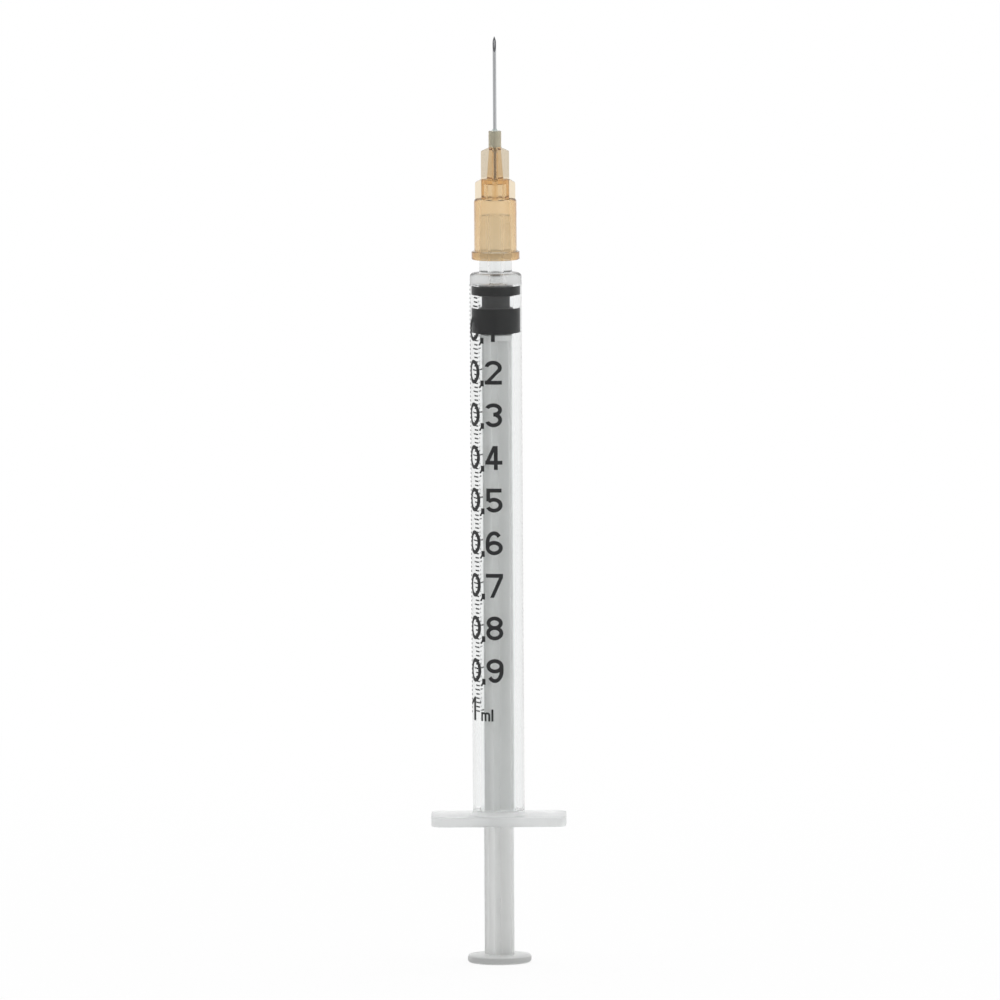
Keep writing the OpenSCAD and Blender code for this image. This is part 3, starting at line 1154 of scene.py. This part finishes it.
@dataclass(frozen=True)
class Lamp:
    """A soft box that faces the middle of the syringe.

    Args:
        name: Its name.
        place: Where it stands, in metres.
        width: Its width, in metres.
        height: Its height, in metres.
        level: How bright it makes white paper that faces it where the syringe is, where 1 is white.
    """

    name: str
    place: Vector
    width: float
    height: float
    level: float

    def build(self, target: Vector) -> None:
        """Hangs the lamp.

        Args:
            target: What it faces.
        """
        data = bpy.data.lights.new(self.name, "AREA")
        data.shape, data.size, data.size_y = "RECTANGLE", self.width, self.height
        away = self.place - target
        data.energy = self.level * math.pi**2 * away.length_squared
        obj = bpy.data.objects.new(self.name, data)
        obj.location = self.place
        obj.rotation_mode = "QUATERNION"
        obj.rotation_quaternion = away.to_track_quat("Z", "Y")
        bpy.context.scene.collection.objects.link(obj)


@dataclass
class Studio:
    """White floor and surroundings, soft boxes, and the camera.

    Args:
        target: What the camera and the lamps face, in metres.
        distance: The camera's distance from it, in metres.
        elevation: How far down the camera looks, in degrees.
        roll: How far it leans, in degrees.
        seen_width: Width of what it sees at the target, in metres.
        sensor: Width of its sensor.
        sight: How far it sees, in metres.
        floor_r: Radius of the floor, in metres.
        floor_gap: How far the floor lies below the syringe, in metres.
        floor_colour: Colour of the floor's paper.
        floor_glow: How much of the paper shows as white where the shadow is deepest.
        shadow_r: Radii, in metres, where the shadow is deepest and where it ends.
        front_level: How bright the room is in front of the syringe.
        back_level: How bright it is behind it.
        rise: Where it starts and ends growing brighter, from -1 in front to 1 behind.
        lamps: The soft boxes.
    """

    target: Vector = field(default_factory=lambda: Vector((0.0004, 0.0, 0.0619)))
    distance: float = 4.0
    elevation: float = 5.5
    roll: float = 0.34
    seen_width: float = 0.1332
    sensor: float = 36.0
    sight: float = 32.0
    floor_r: float = 8.0
    floor_gap: float = 2e-5
    floor_colour: Colour = (0.93, 0.93, 0.93)
    floor_glow: float = 0.85
    shadow_r: Range = (0.02, 0.3)
    front_level: float = 0.2
    back_level: float = 1.0
    rise: Range = (-0.95, 0.1)
    lamps: Sequence[Lamp] = (
        Lamp("key", place=Vector((0.75, -0.75, 0.4)), width=1.2, height=1.5, level=0.36),
        Lamp("fill", place=Vector((-0.8, -0.7, 0.35)), width=1.2, height=1.4, level=0.16),
        Lamp("top", place=Vector((0.1, 0.3, 1.1)), width=0.7, height=0.7, level=0.14),
    )

    def shown(self, graph: Graph) -> bpy.types.NodeSocket:
        """Tells the rays that show what stands behind the syringe from all others.

        Args:
            graph: The tree that needs it.

        Returns:
            1 for rays that show it straight, mirrored or through the syringe, and 0 for others.
        """
        path = graph.node("LightPath").outputs
        return graph.larger(path["Is Camera Ray"], path["Is Glossy Ray"], path["Is Transmission Ray"])

    def floor(self) -> None:
        """Lays the pale floor, which keeps a soft shadow."""
        bm = bmesh.new()
        bmesh.ops.create_circle(bm, cap_ends=True, radius=self.floor_r, segments=COARSE)
        bmesh.ops.translate(bm, verts=bm.verts, vec=Vector((0.0, 0.0, -self.floor_gap)))
        obj = as_object("floor", bm)
        graph = Graph(bpy.data.materials.new("floor_paper"))
        paper = graph.node("BsdfDiffuse", {"Color": (*self.floor_colour, 1.0)}).outputs[0]
        white = graph.node("Emission", {"Color": WHITE, "Strength": 1.0}).outputs[0]
        away = graph.node("VectorMath", {0: graph.node("TexCoord").outputs["Object"]}, operation="LENGTH")
        glow = graph.ramp(away.outputs["Value"], self.shadow_r, (self.floor_glow, 1.0), Easing.GENTLE)
        share = graph.node("Math", {0: self.shown(graph), 1: glow}, operation="MULTIPLY").outputs[0]
        obj.data.materials.append(graph.done(graph.node("MixShader", {0: share, 1: paper, 2: white}).outputs[0]))

    def surroundings(self) -> None:
        """Sets the room: white behind the syringe, greyer in front of it."""
        world = bpy.data.worlds.new("room")
        bpy.context.scene.world = world
        graph = Graph(world)
        direction = graph.node("TexCoord").outputs["Generated"]
        depth = graph.node("SeparateXYZ", {0: direction}).outputs["Y"]
        level = graph.ramp(depth, self.rise, (self.front_level, self.back_level), Easing.GENTLE)
        brightness = graph.larger(level, graph.node("LightPath").outputs["Is Camera Ray"])
        light = graph.node("Background", {"Color": WHITE, "Strength": brightness}).outputs[0]
        graph.node("OutputWorld", {"Surface": light})

    def camera(self) -> None:
        """Sets up the camera at the photograph's angle."""
        data = bpy.data.cameras.new("camera")
        data.sensor_width = self.sensor
        data.lens = self.sensor * self.distance / self.seen_width
        data.clip_end = self.sight
        up = math.radians(self.elevation)
        back = Vector((0.0, -math.cos(up), math.sin(up)))
        obj = bpy.data.objects.new("camera", data)
        obj.location = self.target + back * self.distance
        obj.rotation_mode = "QUATERNION"
        level = back.to_track_quat("Z", "Y")
        obj.rotation_quaternion = level @ Matrix.Rotation(math.radians(-self.roll), 3, "Z").to_quaternion()
        bpy.context.scene.collection.objects.link(obj)
        bpy.context.scene.camera = obj

    def build(self) -> None:
        """Sets up the whole studio."""
        bpy.context.scene.view_settings.view_transform = "Standard"
        self.camera()
        self.floor()
        self.surroundings()
        for lamp in self.lamps:
            lamp.build(self.target)
        log.info("studio: %d lamps", len(self.lamps))


def main() -> None:
    """Builds the syringe and its studio."""
    logging.basicConfig(level=logging.INFO, format="%(name)s: %(message)s")
    for part in (Barrel(), Print(), Stopper(), PlungerRod(), NeedleHub(), Cannula(), Adhesive(), Studio()):
        part.build()


if __name__ == "__main__":
    main()
